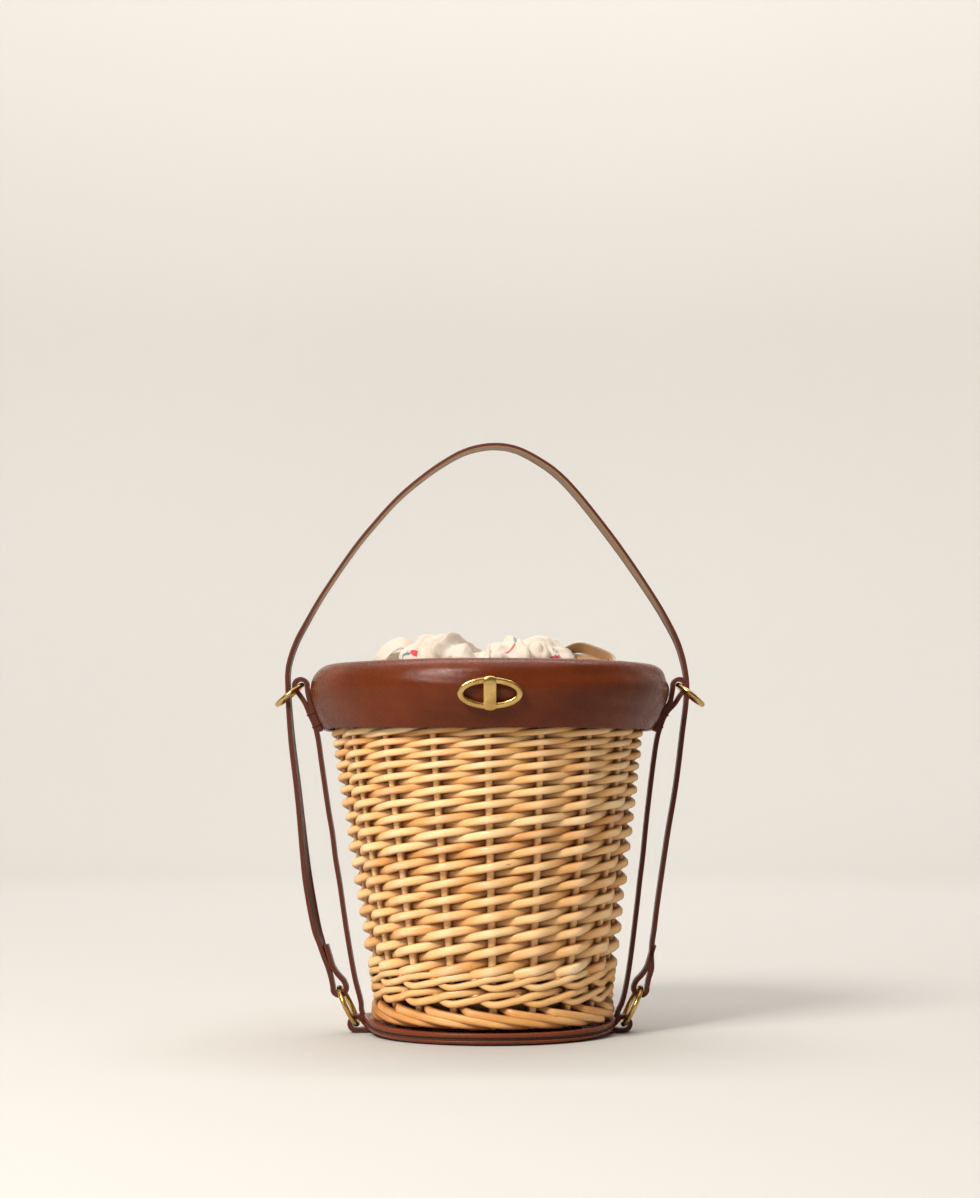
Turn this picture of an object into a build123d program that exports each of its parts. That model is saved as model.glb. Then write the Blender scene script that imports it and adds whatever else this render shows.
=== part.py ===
from build123d import *
from math import cos, radians, sin
import os

# A wicker bucket bag: a tapered willow basket with a padded leather collar, a cotton
# drawstring pouch inside, and a leather harness of base plate, side straps, brass rings
# and one long handle strap. Millimetres, +Z up, front of the bag towards -Y.
# The origin is on the floor, under the middle of the base plate.

# ---- leather ----
STRAP_WIDTH = 9.0            # along Y
HANDLE_THICK = 2.4
SIDE_STRAP_THICK = 2.2
LOOP_LEATHER = 2.0           # skived leather round the top rings
FOLD_LEATHER = 2.6           # leather round the bottom rings
PLATE_RADIUS = 71.5
PLATE_LAYER = 1.6
BOARD_THICK = 1.3
BOARD_INSET = 1.0
TAB_TONGUE = 11.0            # how far a tab is sewn in between the plate's layers

# ---- basket ----
FOOT_BOTTOM = 2 * PLATE_LAYER + BOARD_THICK
WALE_LOWER_BOTTOM = 20.0
WALE_UPPER_BOTTOM = 30.0
WEAVE_BOTTOM = 40.0
WEAVE_TOP = 176.0
WALL_SLOPE = 0.147           # widening of the wall's radius per millimetre of height
WALL_RADIUS_AT_WEAVE = 65.3  # stake circle at WEAVE_BOTTOM
WALL_HALF = 5.3              # stake circle to either face of the weave
STAKE_COUNT = 18
STAKE_RADIUS = 1.9
STAKE_CLEARANCE = 0.05
STAKE_BOTTOM = 12.0
STAKE_TOP = 196.0
BASE_WEAVE_BOTTOM = 7.0
BASE_WEAVE_TOP = 12.0
BASE_WEAVE_RADIUS = 55.6

# ---- collar ----
COLLAR_THICK = 1.6
COLLAR_LINE = [(91.9, 172.2), (97.2, 183.0), (100.6, 195.0), (98.9, 202.6),
               (94.3, 206.9), (89.5, 207.9), (85.7, 205.6), (84.4, 201.0)]
RIM_OUTLINE = [(80.7, 176.4), (91.6, 176.4), (94.6, 188.0), (93.6, 199.0),
               (90.6, 203.4), (86.4, 203.4), (84.0, 199.0)]
FACING_THICK = 1.1

# ---- pouch ----
CLOTH = 0.9
CUP_FLOOR = 14.0
MOUTH_RADIUS = 8.0
FRILL_RADIUS = 50.0
FRILL_TOP = 228.0
RIBBON_WIDTH = 8.0
RIBBON_THICK = 1.2

# ---- rings and handle ----
TOP_RING_RADIUS = 8.9        # to the middle of the wire
TOP_RING_WIRE = 1.4
TOP_RING_TILT = 39.0         # below level, outwards
TOP_LOOP = (-107.6, 197.4)   # middle of the left loop's hole
TOP_LOOP_HOLE = 2.6
BOTTOM_RING_RADIUS = 11.5
BOTTOM_RING_WIRE = 1.5
BOTTOM_RING_TILT = 26.0      # from upright, outwards
TAB_LOOP = (-75.9, 5.2)      # middle of the left tab's hole
FOLD_HOLE = 2.6
HANDLE_PIVOT_Z = 204.5
HANDLE_LINE = [(-114.2, 204.5), (-111.6, 214.5), (-104.9, 229.0), (-93.0, 250.0),
               (-78.0, 272.4), (-63.0, 293.0), (-48.0, 310.4), (-33.0, 323.6),
               (-18.0, 332.0), (0.0, 335.7)]
LOWER_LINE = [(-114.1, 199.7), (-111.6, 166.5), (-105.6, 120.0), (-98.9, 75.3),
              (-95.9, 58.2), (-93.6, 48.0), (-90.7, 36.0)]
TAIL_TOP = 48.5
SIDE_LINE = [(-103.2, 187.6), (-100.5, 176.0), (-98.4, 166.5), (-91.0, 120.0),
             (-84.0, 75.0), (-82.0, 58.0), (-78.2, 32.0), (-75.0, 17.0),
             (-72.4, 9.0), (-70.8, 4.5)]

# ---- ornament ----
ORNAMENT_Z = 190.0
ORNAMENT_LEAN = 12.0         # the collar's face leans out by this many degrees
ORNAMENT_WIDTH = 34.5
ORNAMENT_HEIGHT = 17.0
ORNAMENT_BAND = 3.4
ORNAMENT_THICK = 2.4

parts = {}


# ---- small helpers: outlines are drawn as (radius or x, height) pairs ----
def outline(*points):
    return make_face(Polyline(*points, close=True))


def hull_of(*discs):
    edges = [edge for x, z, radius in discs for edge in (Pos(x, z) * Circle(radius)).edges()]
    return make_hull(edges)


def spun(sketch):
    return revolve(Plane.XZ * sketch, axis=Axis.Z)


def strap(sketch, width=STRAP_WIDTH):
    return extrude(Plane.XZ * sketch, amount=width / 2, both=True)


def smooth_band(points, thickness):
    return trace(Spline(*points), line_width=thickness)


def along(start, direction, distance):
    return (start[0] + direction[0] * distance, start[1] + direction[1] * distance)


def stake_circle(z):
    return WALL_RADIUS_AT_WEAVE + (z - WEAVE_BOTTOM) * WALL_SLOPE


def pair(name, left):
    parts[f"{name}_left"] = left
    parts[f"{name}_right"] = mirror(left, about=Plane.YZ)


# ---- wicker ----
def stake_set(radius):
    foot = stake_circle(STAKE_BOTTOM)
    head = stake_circle(STAKE_TOP)
    stakes = []
    for number in range(STAKE_COUNT):
        turn = radians(-90 + number * 360 / STAKE_COUNT)
        low = Vector(foot * cos(turn), foot * sin(turn), STAKE_BOTTOM)
        high = Vector(head * cos(turn), head * sin(turn), STAKE_TOP)
        rod = Plane(origin=low, z_dir=high - low) * Cylinder(
            radius, (high - low).length, align=(Align.CENTER, Align.CENTER, Align.MIN))
        stakes.append(rod)
    return stakes


def woven_wall():
    """The randed wall, as one cone of the weave's full thickness."""
    corners = [(stake_circle(level) + side * WALL_HALF, level)
               for side, levels in ((1, (WEAVE_BOTTOM, WEAVE_TOP)), (-1, (WEAVE_TOP, WEAVE_BOTTOM)))
               for level in levels]
    return spun(outline(*corners))


def wale(bottom, top, bulge):
    """A band of waling: straight inside, rounded outside."""
    inner_low = stake_circle(bottom) - WALL_HALF
    inner_high = stake_circle(top) - WALL_HALF
    outer_low = stake_circle(bottom) + WALL_HALF - bulge
    outer_high = stake_circle(top) + WALL_HALF - bulge
    middle = (bottom + top) / 2
    return spun(make_face([
        Line((inner_low, bottom), (outer_low, bottom)),
        ThreePointArc((outer_low, bottom), (stake_circle(middle) + WALL_HALF, middle),
                      (outer_high, top)),
        Line((outer_high, top), (inner_high, top)),
        Line((inner_high, top), (inner_low, bottom))]))


def basket():
    cutters = stake_set(STAKE_RADIUS + STAKE_CLEARANCE)
    foot = spun(make_face([
        Line((BASE_WEAVE_RADIUS + 0.4, FOOT_BOTTOM), (63.0, FOOT_BOTTOM)),
        ThreePointArc((63.0, FOOT_BOTTOM), (68.6, 13.0), (66.4, WALE_LOWER_BOTTOM)),
        Line((66.4, WALE_LOWER_BOTTOM), (BASE_WEAVE_RADIUS + 0.4, WALE_LOWER_BOTTOM)),
        Line((BASE_WEAVE_RADIUS + 0.4, WALE_LOWER_BOTTOM),
             (BASE_WEAVE_RADIUS + 0.4, FOOT_BOTTOM))]))
    bands = {
        "foot_border": foot,
        "waling_lower": wale(WALE_LOWER_BOTTOM, WALE_UPPER_BOTTOM, 1.4),
        "waling_upper": wale(WALE_UPPER_BOTTOM, WEAVE_BOTTOM, 1.2),
        "rand_weave": woven_wall(),
        "rim_border": spun(outline(*RIM_OUTLINE) - trace(Spline(*COLLAR_LINE),
                                                        line_width=COLLAR_THICK + 0.4)),
    }
    for name, band in bands.items():
        parts[name] = band - cutters
    parts["stakes"] = Compound(children=stake_set(STAKE_RADIUS))
    parts["base_weave"] = Pos(0, 0, BASE_WEAVE_BOTTOM) * Cylinder(
        BASE_WEAVE_RADIUS, BASE_WEAVE_TOP - BASE_WEAVE_BOTTOM,
        align=(Align.CENTER, Align.CENTER, Align.MIN))


# ---- collar ----
def collar_void():
    """Everything inside the collar's leather, down to the level of its lower edge."""
    return make_face([Spline(*COLLAR_LINE), Line(COLLAR_LINE[-1], (84.4, COLLAR_LINE[0][1])),
                      Line((84.4, COLLAR_LINE[0][1]), COLLAR_LINE[0])])


def collar():
    leather = smooth_band(COLLAR_LINE, COLLAR_THICK)
    beside_weave = Pos(90, WEAVE_TOP - 8.8) * Rectangle(40, 20)
    padding = collar_void() - beside_weave - smooth_band(COLLAR_LINE, COLLAR_THICK + 0.1)
    padding -= offset(outline(*RIM_OUTLINE), 0.1)
    padding_ring = spun(padding).solids().sort_by(SortBy.VOLUME)[-1]
    facing = trace(Line((79.0, 177.0), (82.6, 203.4)), line_width=FACING_THICK)
    parts["collar_leather"] = spun(leather) - ornament_posts(0.05)
    parts["collar_padding"] = padding_ring - ornament_posts(0.05) - ornament_backing(0.05)
    parts["collar_facing"] = spun(facing)


# ---- ornament: a plain oval link with a smooth centre sleeve ----
def ornament_plane():
    """On the collar's front face: x across the bag, y up the face, z outwards."""
    lean = radians(ORNAMENT_LEAN)
    return Plane(origin=(0, -101.1, ORNAMENT_Z), x_dir=(1, 0, 0), z_dir=(0, -cos(lean), -sin(lean)))


def ornament_posts(extra=0.0):
    length = 5.2
    pins = [Pos(0, rise, -length / 2 + 0.6) * Cylinder(0.9 + extra, length) for rise in (-4, 4)]
    return [ornament_plane() * pin for pin in pins]


def ornament_backing(extra=0.0):
    plate = Pos(0, 0, -4.6 - 0.4) * Box(9 + 2 * extra, 14 + 2 * extra, 0.8 + 2 * extra)
    return ornament_plane() * plate


def oval_band(grow):
    outer = Ellipse(ORNAMENT_WIDTH / 2 + grow, ORNAMENT_HEIGHT / 2 + grow)
    inner = Ellipse(ORNAMENT_WIDTH / 2 - ORNAMENT_BAND - grow,
                    ORNAMENT_HEIGHT / 2 - ORNAMENT_BAND - grow)
    depth = ORNAMENT_THICK + 2 * grow
    return extrude(Pos(0, 0, 1.0 - grow) * (outer - inner), amount=depth)


def ornament():
    link = chamfer(oval_band(0.0).edges(), 0.7)
    sleeve_box = Pos(0, 0, 0.2) * Box(6.6, ORNAMENT_HEIGHT + 2.2, ORNAMENT_THICK + 2.2,
                                      align=(Align.CENTER, Align.CENTER, Align.MIN))
    sleeve = fillet(sleeve_box.edges().filter_by(Axis.X), 1.6) - oval_band(0.05)
    posts = ornament_posts()
    parts["ornament_link"] = ornament_plane() * link
    parts["ornament_sleeve"] = ornament_plane() * sleeve - posts
    parts["ornament_posts"] = Compound(children=posts)
    parts["ornament_backing"] = ornament_backing() - posts


# ---- cotton pouch ----
def pouch():
    wall_foot = stake_circle(20) - WALL_HALF - 1.6
    wall_head = stake_circle(186) - WALL_HALF - 2.3
    cup_outer = outline((0, CUP_FLOOR), (wall_foot - 5, CUP_FLOOR), (wall_foot, 20),
                        (wall_head, 186), (0, 186))
    cup_inner = outline((0, CUP_FLOOR + CLOTH), (wall_foot - 5.2, CUP_FLOOR + CLOTH),
                        (wall_foot - CLOTH, 20.4), (wall_head - CLOTH, 186), (0, 186))
    parts["pouch_cup"] = spun(cup_outer - cup_inner)
    neck_line = [(77.2, 186.8), (79.6, 199.5), (70.0, 205.6), (45.0, 209.2), (20.0, 210.9),
                 (MOUTH_RADIUS + CLOTH, 211.2)]
    parts["pouch_neck"] = spun(trace(Polyline(*neck_line), line_width=CLOTH))
    casing = outline((MOUTH_RADIUS, 211.9), (MOUTH_RADIUS + 1.4, 211.9),
                     (MOUTH_RADIUS + 1.4, 215.8), (MOUTH_RADIUS, 215.8))
    parts["drawstring_casing"] = spun(casing)
    frill = make_face([
        Line((MOUTH_RADIUS + 0.4, 216.0), (24.0, 216.6)),
        Line((24.0, 216.6), (FRILL_RADIUS - 2.5, 218.0)),
        ThreePointArc((FRILL_RADIUS - 2.5, 218.0), (FRILL_RADIUS, 222.0),
                      (FRILL_RADIUS - 6.0, 226.4)),
        ThreePointArc((FRILL_RADIUS - 6.0, 226.4), (30.0, FRILL_TOP), (13.0, 225.0)),
        ThreePointArc((13.0, 225.0), (9.4, 221.0), (MOUTH_RADIUS + 0.4, 216.0))])
    parts["pouch_frill"] = spun(frill)


def drawstring(reach):
    """A flat cotton loop on the +X side: a doubled run from the casing, then an open loop."""
    level = 213.8
    run = Pos((9.8 + 52) / 2, level) * Rectangle(52 - 9.8, RIBBON_THICK)
    loop = hull_of((57.0, 216.6, 6.2), (reach - 4.0, 214.0, 4.0))
    loop -= hull_of((57.0, 216.6, 6.2 - RIBBON_THICK), (reach - 4.0, 214.0, 4.0 - RIBBON_THICK))
    return strap(run + loop, RIBBON_WIDTH)


def drawstrings():
    parts["drawstring_right"] = drawstring(70.0)
    parts["drawstring_left"] = mirror(drawstring(66.0), about=Plane.YZ)


# ---- rings ----
def ring(middle, tilt_axis, radius, wire):
    """A round wire ring standing across the bag's side, with its plane through Y."""
    normal = (-tilt_axis[1], 0, tilt_axis[0])
    return Plane(origin=(middle[0], 0, middle[1]), x_dir=(0, 1, 0), z_dir=normal) * Torus(radius, wire)


def top_ring_direction():
    """From the left ring's outer end up to its end in the strap loop."""
    return (cos(radians(TOP_RING_TILT)), sin(radians(TOP_RING_TILT)))


def bottom_ring_direction():
    """From the left ring's end in the base tab up to its end in the handle's fold."""
    return (-sin(radians(BOTTOM_RING_TILT)), cos(radians(BOTTOM_RING_TILT)))


def wire_sag(radius):
    """How far a ring's wire falls back across the width of a strap."""
    return radius - (radius ** 2 - (STRAP_WIDTH / 2) ** 2) ** 0.5


def top_ring_pivot():
    return along(TOP_LOOP, top_ring_direction(), wire_sag(TOP_RING_RADIUS) / 2)


def top_ring_middle():
    return along(top_ring_pivot(), top_ring_direction(), -TOP_RING_RADIUS)


def bottom_ring_middle():
    low = along(TAB_LOOP, bottom_ring_direction(), -wire_sag(BOTTOM_RING_RADIUS) / 2)
    return along(low, bottom_ring_direction(), BOTTOM_RING_RADIUS)


def fold_middle():
    """Middle of the hole where the handle strap folds round the bottom ring."""
    span = 2 * BOTTOM_RING_RADIUS - wire_sag(BOTTOM_RING_RADIUS)
    return along(TAB_LOOP, bottom_ring_direction(), span)


def rings():
    pair("top_ring", ring(top_ring_middle(), top_ring_direction(), TOP_RING_RADIUS, TOP_RING_WIRE))
    pair("bottom_ring", ring(bottom_ring_middle(), bottom_ring_direction(),
                             BOTTOM_RING_RADIUS, BOTTOM_RING_WIRE))


# ---- harness ----
def tab_outline():
    return Pos(*TAB_LOOP) * Circle(FOLD_HOLE + FOLD_LEATHER)


def tongue_outline():
    start = TAB_LOOP[0] + FOLD_HOLE + FOLD_LEATHER / 2
    end = -PLATE_RADIUS + TAB_TONGUE
    return Pos((start + end) / 2, PLATE_LAYER + BOARD_THICK / 2) * Rectangle(end - start, BOARD_THICK)


def base_plate():
    tab = (tab_outline() + tongue_outline()) - Pos(*TAB_LOOP) * Circle(FOLD_HOLE)
    left = strap(tab)
    pair("base_tab", left)
    both = [strap(tab_outline() + tongue_outline())]
    both.append(mirror(both[0], about=Plane.YZ))
    rivets = base_rivets()
    layers = {"base_leather_bottom": (0, PLATE_LAYER, PLATE_RADIUS),
              "base_board": (PLATE_LAYER, BOARD_THICK, PLATE_RADIUS - BOARD_INSET),
              "base_leather_top": (PLATE_LAYER + BOARD_THICK, PLATE_LAYER, PLATE_RADIUS)}
    for name, (bottom, thickness, radius) in layers.items():
        disc = Pos(0, 0, bottom) * Cylinder(radius, thickness,
                                            align=(Align.CENTER, Align.CENTER, Align.MIN))
        parts[name] = disc - both - rivets
    parts["base_weave"] -= rivets
    parts["base_rivets"] = Compound(children=rivets)


def base_rivets():
    """Four rivets that hold the leather plate to the basket's woven bottom."""
    rivets = []
    for number in range(4):
        turn = radians(45 + 90 * number)
        shank = Cylinder(1.5, BASE_WEAVE_TOP, align=(Align.CENTER, Align.CENTER, Align.MIN))
        low_head = Cylinder(4.0, 0.8, align=(Align.CENTER, Align.CENTER, Align.MIN))
        high_head = Pos(0, 0, BASE_WEAVE_TOP) * Cylinder(
            4.0, 0.9, align=(Align.CENTER, Align.CENTER, Align.MIN))
        rivets.append(Pos(30 * cos(turn), 30 * sin(turn), 0) * (shank + low_head + high_head))
    return rivets


def side_strap():
    """From the base plate's edge up past the collar, round the top ring and back."""
    x, z = TOP_LOOP
    outer = TOP_LOOP_HOLE + LOOP_LEATHER
    eye = hull_of((x, z, outer), (x - 0.2, z - 0.8, outer), (-103.6, 187.6, SIDE_STRAP_THICK))
    hole = hull_of((x, z, TOP_LOOP_HOLE), (x - 0.2, z - 0.8, TOP_LOOP_HOLE), (-104.6, 191.0, 0.5))
    doubled = trace(Polyline((-103.6, 188.0), (-101.3, 180.0), (-100.0, 175.0)),
                    line_width=2 * SIDE_STRAP_THICK)
    single = smooth_band(SIDE_LINE, SIDE_STRAP_THICK)
    below_plate = Pos(-71, FOOT_BOTTOM - 5) * Rectangle(20, 10)
    shape = (single + doubled + eye) - hole - tab_outline() - below_plate
    return strap(shape)


def handle_lower():
    """The handle strap below a top ring, folded round the bottom ring and sewn back on itself."""
    x, z = fold_middle()
    outer = FOLD_HOLE + FOLD_LEATHER
    single = smooth_band(LOWER_LINE, HANDLE_THICK)
    fold = hull_of((x, z, outer), (-90.0, 37.0, FOLD_LEATHER))
    hole = hull_of((x, z, FOLD_HOLE), (-88.6, 31.6, 0.4))
    tail = trace(Polyline((-89.2, 35.5), (-90.4, 40.0), (-92.0, TAIL_TOP)), line_width=FOLD_LEATHER)
    return strap((single + fold + tail) - hole)


def handle_arc():
    """The swinging part of the handle strap, with rounded ends on the swing axis."""
    half = strap(trace(Spline(*HANDLE_LINE, tangents=[(0, 1), (1, 0)]), line_width=HANDLE_THICK))
    end = Plane(origin=(HANDLE_LINE[0][0], 0, HANDLE_PIVOT_Z), z_dir=(1, 0, 0))
    half += end * Cylinder(STRAP_WIDTH / 2, HANDLE_THICK)
    arc = half + mirror(half, about=Plane.YZ)
    return arc


basket()
collar()
ornament()
pouch()
drawstrings()
rings()
base_plate()
pair("side_strap", side_strap())
pair("handle_lower", handle_lower())
parts["handle_arc"] = handle_arc()

os.makedirs("parts", exist_ok=True)
for name, shape in parts.items():
    export_step(shape, f"parts/{name}.step")
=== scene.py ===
import math
import random

import bpy
import numpy as np
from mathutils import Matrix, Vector, noise


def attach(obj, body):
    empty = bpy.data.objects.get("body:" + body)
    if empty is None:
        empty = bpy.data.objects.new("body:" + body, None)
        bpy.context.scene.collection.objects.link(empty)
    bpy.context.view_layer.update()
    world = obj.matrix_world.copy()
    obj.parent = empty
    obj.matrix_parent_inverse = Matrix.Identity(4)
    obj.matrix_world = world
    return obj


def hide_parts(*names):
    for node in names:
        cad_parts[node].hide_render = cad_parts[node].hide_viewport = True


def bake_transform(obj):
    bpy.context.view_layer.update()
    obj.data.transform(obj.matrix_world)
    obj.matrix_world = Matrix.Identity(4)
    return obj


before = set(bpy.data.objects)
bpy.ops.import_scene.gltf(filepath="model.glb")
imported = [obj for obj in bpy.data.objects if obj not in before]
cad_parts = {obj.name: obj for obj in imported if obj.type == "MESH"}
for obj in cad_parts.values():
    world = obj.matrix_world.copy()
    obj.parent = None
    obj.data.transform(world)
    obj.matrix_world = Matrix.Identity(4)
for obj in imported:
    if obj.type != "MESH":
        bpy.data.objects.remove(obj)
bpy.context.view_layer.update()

# A wicker bucket bag: willow basket, padded leather collar, cotton pouch, leather harness
# and brass rings. Lengths are millimetres unless a name ends in _M. Front is -Y, and what
# comes in pairs is drawn on the left, at -X, and mirrored.

MM = 0.001
WORLD, KEY, OVERHEAD, WASH = 0.27, 46, 39, 90
rng = random.Random(27)

# ---- basket ----
STAKES = 18
STAKE_STEP = 2 * math.pi / STAKES
STAKE_SPAN = (10.0, 186.0)               # heights of the two sizes below
STAKE_RADIUS = (2.45, 2.05)              # at the foot and at the rim
STAKE_CIRCLE_AT_40 = 64.9
WALL_SLOPE = 0.149
ROD_RADIUS = (2.85, 1.84)                # a weaver's, at the foot and at the rim
LEVELS = 33                              # stakes passed by one weaver
ROW_HEIGHTS = [40.4, 51.0, 60.7, 69.7, 78.7, 87.6, 97.0, 106.2, 114.7, 122.7, 130.7, 138.1,
               145.1, 151.8, 158.1, 164.2, 170.0]        # every second crossing of a stake
LEAN = (1.7, -1.5)                       # the basket leans a little, foot to rim, along X
SPLICE = 6                               # stakes passed by one rod of the waling
# One waling rod over three stakes: where along them, how far up, and how far out.
WALE_PHASES = np.array([0.0, 0.45, 1.0, 1.5, 2.0, 2.6, 3.0])
WALE_RISE = np.array([2.5, 1.9, -3.1, -1.2, 1.9, 3.4, 2.5])
WALE_REACH = np.array([-4.4, 0.6, 4.3, 3.7, 4.3, 0.9, -4.4])

# ---- collar ----
COLLAR_LINE = [(91.9, 172.2), (97.2, 183.0), (100.6, 195.0), (98.9, 202.6),
               (94.3, 206.9), (89.5, 207.9), (85.7, 205.6), (84.4, 201.0)]
COLLAR_THICK = 1.6

# ---- harness, left side ----
STRAP_WIDTH = 9.0
STRAP_THICK = 2.6
SIDE_STRAP_THICK = 2.45
TAB_THICK = 2.5
TOP_LOOP = (-107.6, 197.4)               # middle of the side strap's upper loop
TAB_LOOP = (-75.9, 5.2)
FOLD = (-85.57, 25.05)                   # middle of the handle's fold round the lower ring
TOP_RING = (-114.04, 192.18)
TOP_RING_TILT = 39.0
TOP_RING_SIZE = (8.9, 1.4)               # middle of the wire, and the wire's own radius
BOTTOM_RING = (-80.74, 15.12)
BOTTOM_RING_TILT = 26.0
BOTTOM_RING_SIZE = (11.5, 1.5)
BOTTOM_RING_TURN = -3.0
LINING_FROM = 225.0                      # the handle's pale lining shows above this height
# The handle strap from ring to ring over the top, as (x, z, turn in degrees).
HANDLE_LINE = [
    (-94.2, 44.0, 8), (-96.4, 51.4, 14), (-98.6, 58.2, 19), (-103.7, 85.6, 20), (-105.4, 99.3, 16),
    (-108.2, 126.6, 9), (-109.7, 140.3, 8), (-113.0, 167.6, 6), (-114.9, 195.0, 1),
    (-114.7, 207.5, 1), (-110.5, 221.2, 2), (-103.4, 234.8, 1), (-95.4, 248.5, 0),
    (-76.6, 275.9, 0), (-65.5, 289.5, 0), (-53.0, 303.2, 0), (-41.6, 313.2, 1), (-27.9, 323.1, 2),
    (-14.2, 330.5, 3), (0.0, 333.6, 4), (13.1, 332.3, 6), (26.8, 325.8, 9), (40.4, 315.7, 11),
    (67.8, 282.8, 12), (91.7, 248.5, 9), (100.0, 234.8, 7), (106.8, 221.2, 4), (110.7, 207.5, 2),
    (112.0, 195.0, 0), (109.1, 167.6, 0), (105.7, 140.3, 0), (101.1, 112.9, 0), (95.1, 71.9, 0),
    (93.4, 58.2, 0), (92.4, 51.4, 0), (91.9, 44.0, 0)]
# The two side straps, as (x, z): the right one hangs a little straighter.
LEFT_SIDE_LINE = [(-73.5, 17.2), (-76.9, 30.9), (-81.7, 58.2), (-85.7, 85.6), (-88.0, 99.3),
                  (-89.7, 112.9), (-92.0, 126.6), (-96.0, 153.9), (-98.0, 167.6),
                  (-99.7, 174.5), (-102.7, 181.3)]
RIGHT_SIDE_LINE = [(-75.2, 17.2), (-78.3, 30.9), (-83.7, 71.9), (-85.2, 85.6), (-86.9, 99.3),
                   (-89.7, 126.6), (-95.2, 167.6), (-97.2, 174.5), (-100.1, 181.3)]

# ---- cotton pouch ----
POUCH_LINE = [(77.6, 186.8), (79.2, 193.5), (79.0, 201.0), (73.0, 206.4), (62.0, 208.6),
              (44.0, 209.8), (26.0, 210.6), (13.0, 211.6), (8.2, 213.0), (7.6, 215.2),
              (10.8, 218.6), (19.5, 222.4), (31.0, 223.8), (41.5, 221.8), (48.0, 217.0),
              (51.0, 211.6), (50.0, 208.6)]        # from the collar in, and out over the string
POUCH_FLAT_M = (0.49, 0.112)
CUP_LINE = [(0.6, 14.3), (46.0, 14.3), (54.0, 16.0), (57.5, 20.5), (62.0, 52.0), (68.0, 95.0),
            (74.0, 140.0), (78.0, 186.8)]
CUP_FLAT_M = (0.45, 0.235)
# The drawstring's loops: out of the gathers, over the frill, and back underneath.
RIGHT_LOOP = [(10.5, 0, 214.4), (30.0, 0.5, 214.2), (42.0, -1, 216.6), (50.0, -2, 219.2),
              (58.5, -3, 217.0), (68.0, -3.5, 212.0), (65.0, -3, 209.8), (56.0, -1.5, 212.0),
              (44.0, 0, 213.4), (30.0, 0.5, 213.1), (10.5, 0, 213.2)]
LEFT_LOOP = [(10.5, 0, 214.4), (28.0, 1, 214.2), (42.0, 0, 217.5), (50.0, -1, 221.8),
             (57.0, -2, 219.0), (62.5, -2, 212.0), (60.0, -2, 209.6), (52.0, -1, 213.2),
             (40.0, 0, 213.6), (28.0, 1, 213.1), (10.5, 0, 213.2)]


# ---------------------------------------------------------------- camera, floor and light
def aim(thing, target):
    thing.rotation_euler = (Vector(target) - thing.location).to_track_quat("-Z", "Y").to_euler()


def make_camera():
    data = bpy.data.cameras.new("camera")
    camera = bpy.data.objects.new("camera", data)
    bpy.context.scene.collection.objects.link(camera)
    camera.location = (0.0, -1.333, 0.1454)
    camera.rotation_euler = (math.radians(90), 0, 0)
    data.lens = 70.3
    data.shift_y = 0.1486
    data.clip_start, data.clip_end = 0.05, 20
    bpy.context.scene.camera = camera


def area_light(name, place, target, size, power, colour):
    data = bpy.data.lights.new(name, "AREA")
    data.shape = "RECTANGLE"
    data.size, data.size_y = size
    data.energy = power
    data.color = colour
    light = bpy.data.objects.new(name, data)
    bpy.context.scene.collection.objects.link(light)
    light.location = place
    aim(light, target)


def make_stage():
    """A pale paper bowl round the bag, with painted shade behind the camera and up the sides, and soft
    light from above and from the upper left."""
    floor, wall, height, steps = 2.2, 3.2, 3.4, 96
    line = [(0.02, 0.0), (floor, 0.0)]
    for step in range(1, 17):
        turn = math.pi / 2 * step / 16
        line.append((floor + (wall - floor) * math.sin(turn), (wall - floor) * (1 - math.cos(turn))))
    line.append((wall, height))
    verts = [(r * math.cos(2 * math.pi * k / steps), r * math.sin(2 * math.pi * k / steps), z)
             for k in range(steps) for r, z in line]
    rows = len(line)
    faces = []
    for k in range(steps):
        here, there = k * rows, (k + 1) % steps * rows
        faces += [(here + i, there + i, there + i + 1, here + i + 1) for i in range(rows - 1)]
    faces.append(tuple(k * rows for k in range(steps))[::-1])
    mesh = bpy.data.meshes.new("backdrop")
    mesh.from_pydata(verts, [], faces)
    mesh.polygons.foreach_set("use_smooth", [True] * len(faces))
    backdrop = bpy.data.objects.new("backdrop", mesh)
    bpy.context.scene.collection.objects.link(backdrop)
    paper = Graph("backdrop_paper")
    place = paper.node("SeparateXYZ", {0: paper.object_coords()})
    # Painted shade: the paper darkens behind the camera and up the sides, standing in for the unlit part
    # of the studio.
    camera_side_shade = paper.step(paper.math("SUBTRACT", place.outputs[1], place.outputs[2]), -2.6, -1.5)
    tone = paper.ramp(paper.noise(paper.object_coords(), 0.8, detail=1.0),
                      [(0.3, (0.515, 0.498, 0.468)), (0.7, (0.53, 0.513, 0.483))])
    paper.colour(paper.mix(camera_side_shade, (0.33, 0.315, 0.29), tone))
    paper.shader.inputs["Roughness"].default_value = 0.95
    paper.shader.inputs["Specular IOR Level"].default_value = 0.1
    mesh.materials.append(paper.material)

    world = bpy.data.worlds.new("studio")
    world.use_nodes = True
    world.node_tree.nodes["Background"].inputs[0].default_value = (1.0, 0.97, 0.93, 1)
    world.node_tree.nodes["Background"].inputs[1].default_value = WORLD
    bpy.context.scene.world = world
    bag = (0, 0, 0.12)
    area_light("key", (-0.90, -1.32, 1.36), bag, (0.6, 0.6), KEY, (1.0, 0.96, 0.91))
    area_light("overhead", (0.0, 0.1, 2.6), (0, 0, 0), (3.2, 2.6), OVERHEAD, (1.0, 0.98, 0.96))
    area_light("backdrop_wash", (0.0, 1.3, 2.9), (0, 3.4, 0.7), (3.0, 0.8), WASH, (1.0, 0.98, 0.96))
    bpy.context.scene.view_settings.view_transform = "Standard"


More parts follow.
